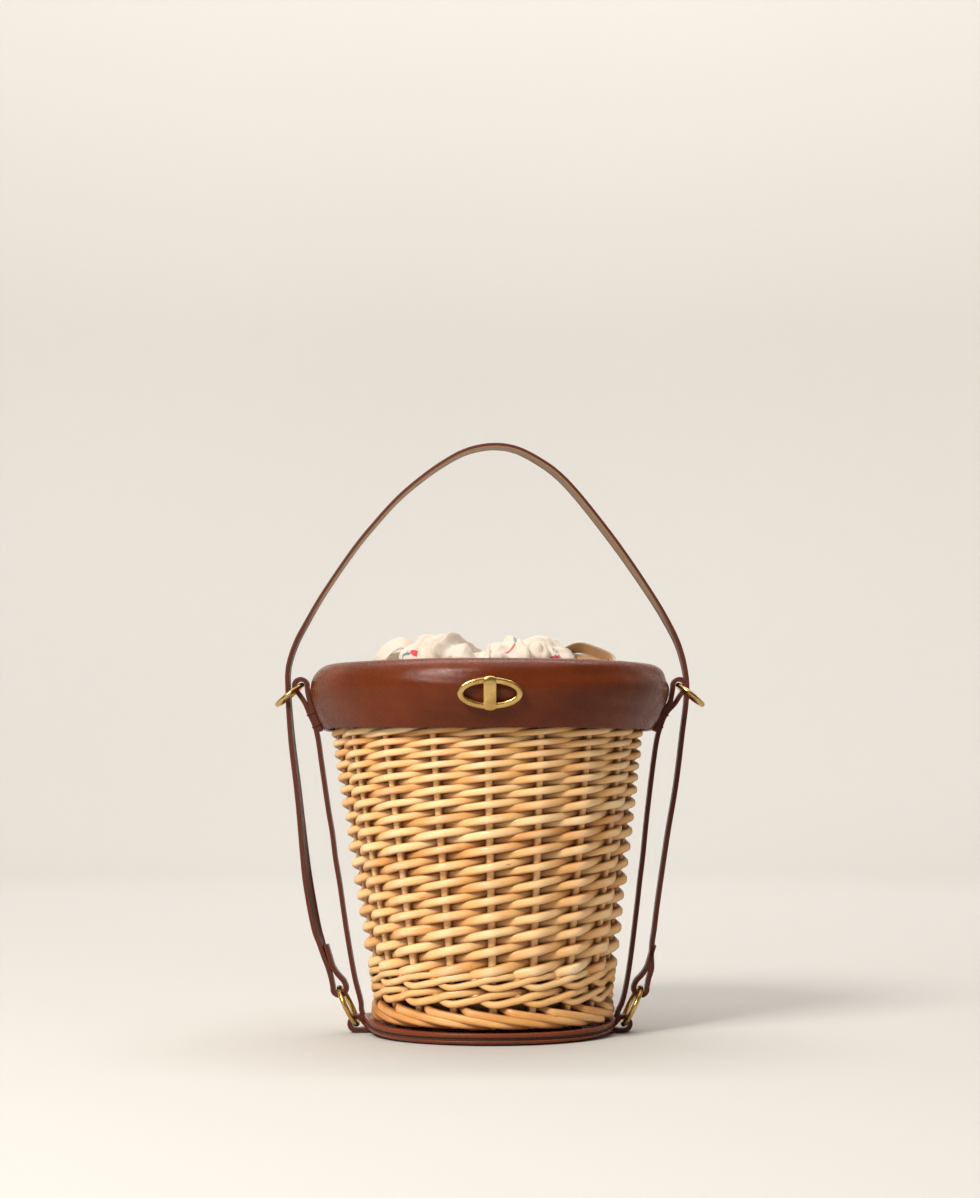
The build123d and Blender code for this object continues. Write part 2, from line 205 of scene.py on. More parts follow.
# ---------------------------------------------------------------- materials
class Graph:
    """A material's node tree, built by short calls."""

    def __init__(self, name):
        self.material = bpy.data.materials.new(name)
        self.material.use_nodes = True
        self.tree = self.material.node_tree
        self.shader = self.tree.nodes["Principled BSDF"]

    def node(self, kind, inputs=(), **settings):
        made = self.tree.nodes.new("ShaderNode" + kind)
        for key, value in settings.items():
            setattr(made, key, value)
        for key, value in dict(inputs).items():
            self.feed(made.inputs[key], value)
        return made

    def feed(self, socket, value):
        if isinstance(value, bpy.types.NodeSocket):
            self.tree.links.new(value, socket)
        else:
            socket.default_value = value

    def object_coords(self):
        return self.node("TexCoord").outputs["Object"]

    def attribute(self, name, output="Fac"):
        return self.node("Attribute", attribute_name=name).outputs[output]

    def math(self, operation, first, second=0.0, third=0.0):
        return self.node("Math", {0: first, 1: second, 2: third}, operation=operation).outputs[0]

    def times(self, first, second):
        return self.math("MULTIPLY", first, second)

    def plus(self, first, second):
        return self.math("ADD", first, second)

    def minus(self, first, second):
        return self.math("SUBTRACT", first, second)

    def vector(self, operation, first, second=(0, 0, 0)):
        made = self.node("VectorMath", {0: first, 1: second}, operation=operation)
        return made.outputs["Value" if operation in ("LENGTH", "DOT_PRODUCT") else "Vector"]

    def stretch(self, vector, scale):
        return self.vector("MULTIPLY", vector, scale)

    def noise(self, vector, scale, detail=3.0, roughness=0.5):
        return self.node("TexNoise", {"Vector": vector, "Scale": scale, "Detail": detail,
                                      "Roughness": roughness}).outputs["Fac"]

    def cells(self, vector, scale, feature="F1", output="Distance", **settings):
        return self.node("TexVoronoi", {"Vector": vector, "Scale": scale},
                         feature=feature, **settings).outputs[output]

    def ramp(self, factor, stops):
        made = self.node("ValToRGB", {"Fac": factor})
        elements = made.color_ramp.elements
        while len(elements) < len(stops):
            elements.new(0.5)
        for element, (place, colour) in zip(elements, stops):
            element.position = place
            value = colour if hasattr(colour, "__len__") else (colour,) * 3
            element.color = (*value, 1)
        return made.outputs["Color"]

    def mix(self, factor, first, second, blend="MIX"):
        made = self.node("Mix", data_type="RGBA", blend_type=blend)
        self.feed(made.inputs[0], factor)
        for socket, value in ((made.inputs[6], first), (made.inputs[7], second)):
            self.feed(socket, value if isinstance(value, bpy.types.NodeSocket) else (*value, 1))
        return made.outputs[2]

    def step(self, value, low, high):
        made = self.node("MapRange", {0: value, 1: low, 2: high, 3: 0.0, 4: 1.0},
                         interpolation_type="SMOOTHSTEP")
        return made.outputs[0]

    def colour(self, value):
        self.feed(self.shader.inputs["Base Color"], value)

    def roughness(self, value):
        self.feed(self.shader.inputs["Roughness"], value)

    def bump(self, height, distance, strength=1.0, under=None):
        inputs = {"Height": height, "Distance": distance, "Strength": strength}
        made = self.node("Bump", inputs)
        if under is not None:
            self.feed(made.inputs["Normal"], under)
        self.feed(self.shader.inputs["Normal"], made.outputs["Normal"])
        return made.outputs["Normal"]


def willow_material():
    """Peeled honey willow: each rod has its own tone, long fibres, dark knots and cut ends, with painted
    shade in recesses and on flanks and a painted highlight on crests.
    """
    g = Graph("peeled_willow")
    fibre = g.attribute("fibre", "Vector")
    tone = g.attribute("tone")
    depth = g.attribute("depth")
    streak = g.noise(g.stretch(fibre, (60, 1500, 1500)), 1.0, detail=4.0, roughness=0.6)
    patch = g.noise(g.stretch(fibre, (45, 160, 160)), 1.0, detail=2.0)
    blend = g.plus(g.math("MULTIPLY_ADD", tone, 0.46, 0.07), g.times(patch, 0.60))
    blend = g.plus(blend, g.times(g.minus(streak, 0.5), 0.35))
    wood = g.ramp(blend, [(0.14, (0.97, 0.76, 0.47)), (0.34, (0.94, 0.635, 0.305)),
                          (0.54, (0.89, 0.515, 0.195)), (0.76, (0.76, 0.36, 0.105)),
                          (0.96, (0.50, 0.19, 0.04))])
    fine = g.noise(g.stretch(fibre, (220, 5200, 5200)), 1.0, detail=2.0)
    wood = g.mix(g.times(g.step(fine, 0.52, 0.75), 0.22), wood, (0.42, 0.21, 0.08))
    knots = g.cells(g.stretch(fibre, (38, 260, 260)), 1.0)
    speck = g.minus(1.0, g.step(knots, 0.03, 0.085))
    wood = g.mix(g.times(speck, 0.75), wood, (0.13, 0.045, 0.015))
    scuffs = g.step(g.noise(g.stretch(fibre, (500, 900, 900)), 1.0, detail=2.0), 0.66, 0.74)
    wood = g.mix(g.times(scuffs, 0.35), wood, (0.30, 0.12, 0.04))
    # Painted shade: recessed parts and flanks of the rods are darkened in the colour.
    wood = g.mix(g.times(g.math("MAXIMUM", depth, 0.0), 0.88), wood, (0.23, 0.070, 0.012))
    # Painted highlight: the crests that stand proud in front of the stakes are paled.
    painted_crest_highlight = g.math("MAXIMUM", g.times(depth, -0.55), 0.0)
    wood = g.mix(painted_crest_highlight, wood, (1.0, 0.84, 0.60))
    wood = g.mix(g.attribute("cut"), wood, (0.72, 0.50, 0.27))
    g.colour(wood)
    g.roughness(g.ramp(streak, [(0.3, 0.34), (0.75, 0.50)]))
    g.shader.inputs["Specular IOR Level"].default_value = 0.5
    g.bump(streak, 0.00025, 0.55)
    return g.material


def leather_material(name, light, dark, pore_scale=1500.0, gloss=0.36, crease=0.0):
    """Smooth dyed leather: soft mottling, fine pores, darker painted edges, and a painted highlight along
    the straps' rounded edge corners.
    """
    g = Graph(name)
    place = g.object_coords()
    mottle = g.noise(place, 42.0, detail=4.0, roughness=0.55)
    skin = g.ramp(mottle, [(0.30, dark), (0.72, light)])
    pores = g.cells(place, pore_scale)
    skin = g.mix(g.times(g.step(pores, 0.12, 0.0), 0.06), skin, (0.03, 0.009, 0.006))
    # Painted highlight: a pale line where the strap's edges round over.
    painted_edge_highlight = g.times(g.attribute("worn"), 0.45)
    skin = g.mix(painted_edge_highlight, skin, tuple(min(1.0, c * 1.9 + 0.015) for c in light))
    skin = g.mix(g.attribute("edge"), skin, (0.105, 0.030, 0.018))
    skin = g.mix(g.times(g.attribute("lining"), 0.75), skin, (0.34, 0.22, 0.115))
    skin = g.mix(g.times(g.attribute("seam"), 0.85), skin, (0.022, 0.007, 0.005))
    g.colour(skin)
    smooth = g.noise(place, 260.0, detail=3.0)
    g.roughness(g.ramp(smooth, [(0.3, gloss - 0.04), (0.75, gloss + 0.08)]))
    g.shader.inputs["Specular IOR Level"].default_value = 0.18
    grain = g.bump(pores, 0.00009, 0.6)
    if crease:
        wrinkles = g.noise(g.stretch(place, (1, 1, 0.45)), 95.0, detail=5.0, roughness=0.62)
        g.bump(wrinkles, 0.0011, crease, under=grain)
    return g.material


def brass_material():
    """Aged polished brass: warm, a little uneven, with fine rubbing marks."""
    g = Graph("aged_brass")
    place = g.object_coords()
    cloud = g.noise(place, 150.0, detail=3.0)
    metal = g.ramp(cloud, [(0.30, (0.47, 0.29, 0.09)), (0.66, (0.68, 0.46, 0.165))])
    # Darker at the rings' joints, and painted shade along the ornament band's sides.
    g.colour(g.mix(g.times(g.attribute("seam"), 0.8), metal, (0.12, 0.06, 0.015)))
    g.shader.inputs["Metallic"].default_value = 1.0
    worn = g.noise(place, 420.0, detail=4.0)
    g.roughness(g.ramp(worn, [(0.3, 0.20), (0.8, 0.33)]))
    return g.material


def flower_print(g, cloth):
    """Small scattered sprigs, one in most cells: a red bud with a dark tip, a curved stem and a
    blue-green leaf. Returns masks with their colours. Sizes are shares of a cell."""
    cells_per_metre = 22.0
    bud_half, leaf_half = (0.135, 0.040), (0.125, 0.026)
    leaf_middle = (-0.245, 0.075, 0.0)
    stem_middle, stem_reach, stem_half = 0.24, 0.12, 0.011

    def scaled(vector):
        made = g.node("VectorMath", {0: vector}, operation="SCALE")
        made.inputs["Scale"].default_value = cells_per_metre
        return made.outputs["Vector"]

    def ellipse(x, y, half):
        x, y = g.math("DIVIDE", x, half[0]), g.math("DIVIDE", y, half[1])
        return g.plus(g.times(x, x), g.times(y, y))

    cell = g.node("TexVoronoi", {"Vector": cloth, "Scale": cells_per_metre, "Randomness": 0.75},
                  voronoi_dimensions="2D")
    chance = g.node("SeparateColor", {"Color": cell.outputs["Color"]}).outputs
    spin = g.node("VectorRotate", {"Vector": g.vector("SUBTRACT", scaled(cloth),
                                                      scaled(cell.outputs["Position"]))},
                  rotation_type="Z_AXIS")
    g.feed(spin.inputs["Angle"], g.times(chance[0], 6.28))
    x, y, _ = g.node("SeparateXYZ", {0: spin.outputs[0]}).outputs
    square = g.times(x, x)
    bent = g.plus(y, g.times(square, 0.9))

    wander = g.noise(cloth, 60.0, detail=1.0)
    bud = g.math("LESS_THAN", g.plus(ellipse(x, bent, bud_half), g.times(wander, 0.5)), 1.15)
    tip = g.times(bud, g.math("GREATER_THAN", x, 0.085))
    stem_line = g.math("ABSOLUTE", g.minus(bent, g.times(square, 1.4)))
    stem_run = g.math("ABSOLUTE", g.plus(x, stem_middle))
    stem = g.times(g.math("LESS_THAN", stem_line, stem_half),
                   g.math("LESS_THAN", stem_run, stem_reach))
    leaf_turn = g.node("VectorRotate", {"Vector": spin.outputs[0], "Center": leaf_middle},
                       rotation_type="Z_AXIS")
    leaf_turn.inputs["Angle"].default_value = 0.60
    leaf_x, leaf_y, _ = g.node("SeparateXYZ", {0: leaf_turn.outputs[0]}).outputs
    leaf_x, leaf_y = g.minus(leaf_x, leaf_middle[0]), g.minus(leaf_y, leaf_middle[1])
    leaf_y = g.plus(leaf_y, g.times(g.times(leaf_x, leaf_x), 1.6))
    leaf = g.math("LESS_THAN", ellipse(leaf_x, leaf_y, leaf_half), 1.0)

    shown = g.math("GREATER_THAN", chance[1], 0.25)
    red = g.mix(wander, (0.56, 0.040, 0.055), (0.68, 0.10, 0.10))
    return [(g.times(leaf, shown), (0.20, 0.31, 0.31)), (g.times(stem, shown), (0.13, 0.21, 0.20)),
            (g.times(bud, shown), red), (g.times(tip, shown), (0.16, 0.03, 0.05))]


def cotton_material(name, printed, front=(0.62, 0.545, 0.465), back=(0.48, 0.285, 0.135)):
    """Plain-woven cotton, cream outside and tan inside."""
    g = Graph(name)
    cloth = g.attribute("cloth", "Vector")
    shade = g.noise(cloth, 90.0, detail=3.0)
    face = g.mix(g.times(shade, 0.45), front, (0.62, 0.49, 0.36))
    if printed:
        for mask, colour in flower_print(g, cloth):
            face = g.mix(mask, face, colour)
    reverse = g.mix(g.times(shade, 0.4), back, tuple(c * 0.72 for c in back))
    g.colour(g.mix(g.attribute("reverse"), face, reverse))
    g.roughness(0.88)
    g.shader.inputs["Specular IOR Level"].default_value = 0.25
    g.shader.inputs["Sheen Weight"].default_value = 0.25
    g.shader.inputs["Sheen Roughness"].default_value = 0.5
    threads = g.node("SeparateXYZ", {0: g.stretch(cloth, (14000, 14000, 0))})
    weave = g.times(g.math("SINE", threads.outputs[0]), g.math("SINE", threads.outputs[1]))
    cloth_bump = g.bump(weave, 0.00006, 0.35)
    creases = g.noise(g.stretch(cloth, (160, 90, 1)), 1.0, detail=4.0, roughness=0.6)
    g.bump(creases, 0.0012, 0.35, under=cloth_bump)
    return g.material


def plain_material(name, low, high, scale, rough, bump=0.0002):
    g = Graph(name)
    place = g.object_coords()
    grain = g.noise(place, scale, detail=4.0, roughness=0.6)
    g.colour(g.ramp(grain, [(0.3, low), (0.7, high)]))
    g.roughness(rough)
    g.bump(grain, bump, 0.5)
    return g.material


# ---------------------------------------------------------------- mesh building
class Piece:
    """Collects swept and turned shapes into one mesh, with named values on its points."""

    def __init__(self):
        self.verts, self.faces, self.values, self.count = [], [], {}, 0

    def add(self, verts, faces, **values):
        verts = np.asarray(verts, float).reshape(-1, 3)
        self.verts.append(verts)
        self.faces.extend([tuple(i + self.count for i in face) for face in faces])
        for name, value in values.items():
            value = np.asarray(value, float)
            width = 3 if value.shape[-1:] == (3,) and value.ndim > 1 else 1
            shape = (len(verts), 3) if width == 3 else (len(verts),)
            full = np.broadcast_to(value.reshape(shape) if value.size > 1 else value, shape)
            self.values.setdefault(name, []).append((self.count, full))
        self.count += len(verts)

    def build(self, name, material, body="root", replaces=(), slot=None, sharp=38.0, scale=MM):
        mesh = bpy.data.meshes.new(name)
        mesh.from_pydata((np.concatenate(self.verts) * scale).tolist(), [], self.faces)
        mesh.polygons.foreach_set("use_smooth", [True] * len(self.faces))
        if sharp:
            mesh.set_sharp_from_angle(angle=math.radians(sharp))
        for key, spans in self.values.items():
            vector = spans[0][1].ndim == 2
            whole = np.zeros((self.count, 3) if vector else self.count, np.float32)
            for start, value in spans:
                whole[start:start + len(value)] = value
            layer = mesh.attributes.new(key, "FLOAT_VECTOR" if vector else "FLOAT", "POINT")
            layer.data.foreach_set("vector" if vector else "value", whole.ravel())
        mesh.materials.append(material)
        made = bpy.data.objects.new(name, mesh)
        bpy.context.scene.collection.objects.link(made)
        if body:
            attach(made, body)
        if replaces:
            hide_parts(*replaces)
        return made


def unit(vectors):
    return vectors / np.linalg.norm(vectors, axis=-1, keepdims=True)


def lengths(path):
    """How far along the path each of its points is."""
    return np.concatenate([[0], np.cumsum(np.linalg.norm(np.diff(path, axis=0), axis=1))])


def cubic(u, gap, start, end, start_slope, end_slope):
    """A smooth step between two values with given slopes, where u runs from 0 to 1."""
    return ((2 * u ** 3 - 3 * u ** 2 + 1) * start + (u ** 3 - 2 * u ** 2 + u) * gap * start_slope
            + (3 * u ** 2 - 2 * u ** 3) * end + (u ** 3 - u ** 2) * gap * end_slope)


def smooth_path(points, step):
    """A smooth curve through the points, sampled about every step."""
    p = np.asarray(points, float)
    t = np.concatenate([[0], np.cumsum(np.linalg.norm(np.diff(p, axis=0), axis=1) ** 0.5)])
    slope = np.gradient(p, t, axis=0)
    u = np.linspace(0, 1, 24, endpoint=False)[:, None]
    dense = np.concatenate([cubic(u, t[i + 1] - t[i], p[i], p[i + 1], slope[i], slope[i + 1])
                            for i in range(len(p) - 1)] + [p[-1:]])
    run = lengths(dense)
    places = np.linspace(0, run[-1], max(2, int(round(run[-1] / step)) + 1))
    return np.stack([np.interp(places, run, column) for column in dense.T], 1)


def grid_faces(rows, columns, closed=False, flip=False):
    """Quads between rows of points, each row a ring. Closed joins the last row to the first."""
    faces = []
    for i in range(rows if closed else rows - 1):
        above = (i + 1) % rows
        for j in range(columns):
            k = (j + 1) % columns
            a, b = (i * columns + j, i * columns + k), (above * columns + k, above * columns + j)
            faces.append((a[0], b[1], b[0], a[1]) if flip else a + b)
    return faces


def tube_faces(rows, columns):
    """The sides of a tube and its two ends."""
    last = (rows - 1) * columns
    ends = [tuple(range(columns))[::-1], tuple(range(last, last + columns))]
    return grid_faces(rows, columns) + ends


def mirrored(verts, faces, mirror):
    """The mesh as it is, or its mirror image for the other side of the bag."""
    if not mirror:
        return verts, faces
    return verts * (-1, 1, 1), [face[::-1] for face in faces]


def sweep(path, side, lift, section, round_ends=0.0):
    """Carries a closed section along a path. Returns points, faces and each point's run."""
    section = np.broadcast_to(section, (len(path), *np.shape(section)[-2:]))
    rows = path[:, None] + section[..., :1] * side[:, None] + section[..., 1:] * lift[:, None]
    run = lengths(path)
    if round_ends:
        caps = []
        for row, centre, inner in ((rows[0], path[0], path[1]), (rows[-1], path[-1], path[-2])):
            middle, out = row.mean(0), unit(centre - inner) * round_ends
            caps.append([middle + (row - middle) * 0.90 + out * 0.75,
                         middle + (row - middle) * 0.72 + out])
        rows = np.concatenate([caps[0][::-1], rows, caps[1]])
        run = np.concatenate([[run[0]] * 2, run, [run[-1]] * 2])
    count, columns = rows.shape[:2]
    return rows.reshape(-1, 3), tube_faces(count, columns), np.repeat(run, columns)


def wobble(angle, seed, terms, strength, first=1):
    """A smooth uneven wave round a circle, or along anything else that has an angle."""
    source = random.Random(seed)
    total = np.zeros_like(angle, float)
    for k in range(first, first + terms):
        size = source.uniform(0.4, 1.0) / (k - first + 1) ** 0.6
        total += size * np.cos(k * angle + source.uniform(0, 6.28))
    return strength * total / max(1.0, terms ** 0.5)


def circle_section(radius, sides):
    turn = np.linspace(0, 2 * math.pi, sides, endpoint=False)
    return np.stack([np.cos(turn), np.sin(turn)], 1) * radius


def lathe(profile, segments, change=None):
    """Turns a closed (radius, height) outline round Z. change(angle, r, z) returns r and z."""
    profile = np.asarray(profile, float)
    angle = np.linspace(0, 2 * math.pi, segments, endpoint=False)[:, None] - math.pi / 2
    r = np.broadcast_to(profile[:, 0], (segments, len(profile)))
    z = np.broadcast_to(profile[:, 1], (segments, len(profile)))
    if change:
        r, z = change(angle + 0 * r, r, z)
    verts = np.stack([r * np.cos(angle), r * np.sin(angle), z], -1)
    faces = grid_faces(segments, len(profile), closed=True, flip=True)
    return verts.reshape(-1, 3), faces, np.broadcast_to(angle, r.shape)


# ---------------------------------------------------------------- wicker
def stake_circle(z):
    return STAKE_CIRCLE_AT_40 + (z - 40.0) * WALL_SLOPE


def stake_angle(number):
    return -math.pi / 2 + number * STAKE_STEP


def on_wall(angle, r, z):
    """Points on the basket's leaning wall."""
    lean = np.interp(z, (20.0, 170.0), LEAN)
    return np.stack([r * np.cos(angle) + lean, r * np.sin(angle), z + 0 * angle], 1)


def add_rod(piece, path, radius, tone, sides=10, depth=0.0, lumps=0.05):
    """One willow rod along a path round the basket, a little uneven along its length and with
    slightly flattened faces. The value for painted shade is 1 where a rod is hidden, and -1, a painted
    highlight, where it stands proud; the flanks get painted shade as well."""
    tangent = unit(np.gradient(path, axis=0))
    out = unit(path * (1, 1, 0))
    lift = unit(out - tangent * np.sum(out * tangent, 1, keepdims=True))
    side = np.cross(tangent, lift)
    run = lengths(path)
    beat = wobble(run / 9.0, rng.random(), 5, lumps)
    thick = np.broadcast_to(radius, len(path)) * (1 + beat)
    circle = circle_section(1.0, sides)
    section = (np.sign(circle) * np.abs(circle) ** 0.74)[None] * thick[:, None, None]
    mean = float(np.mean(thick))
    verts, faces, along = sweep(path, side, lift, section, round_ends=0.22 * mean)
    turn = np.tile(np.linspace(0, 2 * math.pi, sides, endpoint=False), len(along) // sides)
    start = rng.uniform(0, 40)
    fibre = np.stack([along * MM + start, np.cos(turn) * mean * MM + start,
                      np.sin(turn) * mean * MM], 1)
    cut = np.zeros(len(verts))
    cut[:sides] = cut[-sides:] = 1.0
    # Painted shade where the rod is hidden, painted highlight where it stands proud (negative values),
    # and painted shade on the flanks as dark outlines between rods.
    deep = np.concatenate([[0, 0], np.broadcast_to(depth, len(path)), [0, 0]]).repeat(sides)
    painted_flank_shade = np.tile(np.abs(circle[:, 0]) ** 3, len(along) // sides)
    deep = np.clip(np.maximum(deep, 0) + np.minimum(deep, 0) * (1 - painted_flank_shade) + 0.90 * painted_flank_shade, -1, 1)
    piece.add(verts, faces, fibre=fibre, tone=tone, depth=deep, cut=cut)


def rod_tone():
    return min(1.0, max(0.0, rng.gauss(0.42, 0.21)))


def make_stakes(willow):
    piece = Piece()
    for number in range(STAKES):
        angle = stake_angle(number) + rng.uniform(-0.006, 0.006)
        z = np.arange(9.0, 186.0, 2.5)
        r = stake_circle(z) + wobble(z / 18.0, number, 4, 0.18)
        sway = angle + wobble(z / 30.0, 50 + number, 3, 0.0030)
        thick = np.interp(z, STAKE_SPAN, STAKE_RADIUS) * rng.uniform(0.93, 1.06)
        add_rod(piece, on_wall(sway, r, z), thick, 0.42 * rod_tone(), sides=14)
    piece.build("stake_rods", willow, replaces=("stakes",), slot="willow", sharp=50)


def row_height(level):
    """A weaver's height once it has passed this many stakes."""
    past_the_ends = 5.3 * np.clip(level, None, 0) + 2.8 * np.clip(level - 32, 0, None)
    return np.interp(level, np.arange(0, 34, 2), ROW_HEIGHTS) + past_the_ends


def kinked_wave(level):
    """1 in front of a stake and -1 behind the next, bent at the stakes, straighter between."""
    turn = math.pi * level
    return (np.cos(turn) + 0.111 * np.cos(3 * turn) + 0.04 * np.cos(5 * turn)) / 1.151


def make_rand_weave(willow):
    """Eighteen tapering weavers, one started in each gap. Each passes in front of a stake and
    behind the next, and rises one step every time."""
    piece = Piece()
    for weaver in range(STAKES):
        level = np.arange(-0.55, LEVELS + 0.42, 1 / 16)
        taper = ROD_RADIUS[0] + (ROD_RADIUS[1] - ROD_RADIUS[0]) * level / LEVELS
        radius = taper * rng.uniform(0.92, 1.05)
        height = row_height(level) + wobble(level * 0.9, weaver, 6, 0.40)
        wave = kinked_wave(level)
        reach = 0.72 * (np.interp(height, STAKE_SPAN, STAKE_RADIUS) + radius)
        r = stake_circle(height) + reach * wave + wobble(level * 1.3, 90 + weaver, 5, 0.2)
        angle = stake_angle(weaver) + level * STAKE_STEP
        # Painted shade behind each stake, and painted highlight on the crest in front of one.
        add_rod(piece, on_wall(angle, r, height), radius, rod_tone(), sides=14,
                depth=np.clip(0.12 - 0.75 * wave, -1, 1), lumps=0.06)
    piece.build("rand_rods", willow, replaces=("rand_weave",), slot="willow", sharp=50)


def periodic(phase, table):
    """A smooth reading of a table that repeats every three stakes."""
    knots = np.concatenate([WALE_PHASES[:-1] - 3, WALE_PHASES[:-1], WALE_PHASES + 3])
    values = np.concatenate([table[:-1], table[:-1], table])
    slope = 0.75 * np.gradient(values, knots)
    place = np.clip(np.searchsorted(knots, phase, side="right") - 1, 0, len(knots) - 2)
    gap = knots[place + 1] - knots[place]
    return cubic((phase - knots[place]) / gap, gap, values[place], values[place + 1],
                 slope[place], slope[place + 1])


def make_waling(name, middle, radius, willow, seed):
    """Three rods twined round: each passes in front of two stakes and behind the third. New
    rods are spliced in as it goes, and their cut tips show."""
    piece = Piece()
    for strand in range(3):
        for part in range(STAKES // SPLICE):
            start = strand + part * SPLICE - 0.35
            place = np.arange(start, start + SPLICE + 0.75, 1 / 16)
            phase = np.mod(place - strand, 3)
            z = middle + periodic(phase, WALE_RISE) + wobble(place, seed + strand, 4, 0.25)
            end = np.clip((place - place[0]) / 0.5, 0, 1) * np.clip((place[-1] - place) / 0.5, 0, 1)
            r = stake_circle(z) + periodic(phase, WALE_REACH) * (0.35 + 0.65 * end)
            angle = stake_angle(0) + place * STAKE_STEP
            # Painted shade, stronger where the rod runs in towards the stakes.
            depth = np.clip(0.35 - (r - stake_circle(z)) / 8.0, 0, 1)
            add_rod(piece, on_wall(angle, r, z), radius * rng.uniform(0.93, 1.07), 0.7 * rod_tone(),
                    sides=12, depth=depth)
    piece.build(f"{name}_rods", willow, replaces=(name,), slot="willow", sharp=50)


def make_foot_border(willow):
    """The stakes' lower ends, each bent to the right and tucked under the next ones."""
    piece = Piece()
    span = 2.75
    share = np.linspace(0, 1, 64)
    inside = np.clip(1 - share / 0.13, 0, 1)
    tuck = np.clip((share - 0.74) / 0.26, 0, 1)
    fall = 1 - (1 - share) ** 1.25
    swell = 1.1 * np.sin(math.pi * np.clip(share * 1.1, 0, 1))
    r = 65.7 + swell - 7.5 * inside ** 1.4 - 4.5 * tuck ** 1.5
    radius = np.interp(share, [0, 0.15, 0.7, 1], [2.2, 2.5, 2.4, 1.9])
    for number in range(STAKES):
        z = 18.4 - 9.0 * fall + rng.uniform(-0.35, 0.35) + 3.2 * inside ** 1.4
        angle = stake_angle(number) + (0.12 + share * span) * STAKE_STEP
        # Painted shade where the bent end runs inside and where it tucks under the next ones.
        add_rod(piece, on_wall(angle, r, z), radius, min(1.0, 0.34 + rod_tone()), sides=14,
                depth=np.clip(inside + 0.6 * tuck, 0, 1))
    share = np.linspace(0, 1, 24)
    for number in range(STAKES):
        angle = stake_angle(number) + 0.02 * share * STAKE_STEP
        # Painted shade on the upright inner ends.
        add_rod(piece, on_wall(angle, 59.6 + 1.6 * share, 9.2 + 12.5 * share), 2.0, rod_tone(),
                depth=0.8)
    piece.build("foot_border_rods", willow, replaces=("foot_border",), slot="willow", sharp=50)


def make_rim_rods(willow):
    """The wrapped rim under the collar, seen only from inside the top."""
    piece = Piece()
    turn = np.linspace(0, 2 * math.pi, 240)
    rows = ((87.3, 180.0), (88.2, 187.0), (89.2, 194.0), (89.8, 199.5))
    for row, (radius, height) in enumerate(rows):
        z = height + 0.9 * np.sin(9 * turn + row)
        r = radius + 0.8 * np.cos(9 * turn + row)
        path = np.stack([r * np.cos(turn), r * np.sin(turn), z], 1)
        # Painted shade at a fixed strength, for rods lying under the collar.
        add_rod(piece, path, 3.0, rod_tone(), depth=0.6)
    piece.build("rim_rods", willow, replaces=("rim_border",), slot="willow", sharp=50)


def make_base_weave(willow):
    """The basket's woven bottom, on top of the leather plate."""
    piece = Piece()
    for number in range(9):
        turn = number * math.pi / 9
        reach = np.linspace(-54, 54, 24)
        path = np.stack([reach * math.cos(turn), reach * math.sin(turn), 0 * reach + 9.5], 1) + 1e-6
        tangent = unit(np.gradient(path, axis=0))
        lift = np.broadcast_to((0.0, 0.0, 1.0), path.shape)
        verts, faces, _ = sweep(path, np.cross(tangent, lift), lift, circle_section(1.9, 10), 0.6)
        # Painted shade at a fixed strength, for the spokes inside the basket.
        piece.add(verts, faces, fibre=verts * MM, tone=0.5, depth=0.6, cut=0.0)
    for row in range(11):
        turn = np.linspace(0, 2 * math.pi, 200)
        r = 8 + row * 4.4 + 0 * turn
        z = 9.5 + 1.6 * np.cos(9 * turn + math.pi * row)
        path = np.stack([r * np.cos(turn), r * np.sin(turn), z], 1)
        # Painted shade at a fixed strength, for the rounds inside the basket.
        add_rod(piece, path, 1.7, rod_tone(), sides=8, depth=0.6)
    piece.build("base_weave_rods", willow, replaces=("base_weave",), slot="willow", sharp=50)


# ---------------------------------------------------------------- leather
def strap_section(width, thick, bevel=0.42):
    """Two glued layers: flat faces, rounded corners and a fine groove along both edges."""
    half, low = width / 2, thick / 2
    corner = [(half - bevel, low), (half - 0.3 * bevel, low - 0.12 * bevel),
              (half, low - bevel), (half, 0.10), (half - 0.16, 0.0)]
    right = corner + [(x, -z) for x, z in reversed(corner[:-1])]
    left = [(-x, z) for x, z in reversed(right)]
    top = [(x * half, low + 0.06) for x in (-0.78, -0.72, 0.0, 0.72, 0.78)]
    top[1] = (top[1][0], low - 0.03)
    top[3] = (top[3][0], low - 0.03)
    bottom = [(x, -z) for x, z in reversed(top)]
    return np.array(top + right + bottom + left)


def add_strap(piece, route, width, thick, mirror=False, turn=None, lined_above=None):
    """A flat strap along a route of (x, z) points, with its width along Y unless it turns.
    Above a given height its inner layer shows as pale, undyed leather."""
    path = np.stack([route[:, 0], 0 * route[:, 0], route[:, 1]], 1)
    tangent = unit(np.gradient(path, axis=0))
    side = np.broadcast_to((0.0, 1.0, 0.0), path.shape)
    lift = unit(np.cross(side, tangent))
    if turn is not None:
        side = side * np.cos(turn)[:, None] + lift * np.sin(turn)[:, None]
        lift = unit(np.cross(side, tangent))
    section = strap_section(width, thick)
    verts, faces, _ = sweep(path, side, lift, section, round_ends=0.5)
    rows = len(verts) // len(section)
    out = np.abs(section[:, 0])
    edge = np.tile(np.clip((out / (width / 2) - 0.965) / 0.03, 0, 1), rows)
    groove = (np.abs(section[:, 1]) < 0.05) * 1.0
    crease = (np.abs(out - 0.72 * width / 2) < 0.02) * 0.5
    # Painted highlight along the rounded corner of each edge.
    worn = (np.abs(out - (width / 2 - 0.42)) < 0.15) * 1.0
    lining = np.tile((section[:, 1] > 0.2) * 1.0, rows)
    lining *= 0.0 if lined_above is None else np.clip((verts[:, 2] - lined_above) / 25.0, 0, 1)
    verts, faces = mirrored(verts, faces, mirror)
    piece.add(verts, faces, edge=edge * (1 - lining), seam=np.tile(np.maximum(groove, crease), rows),
              worn=np.tile(worn, rows), lining=lining)


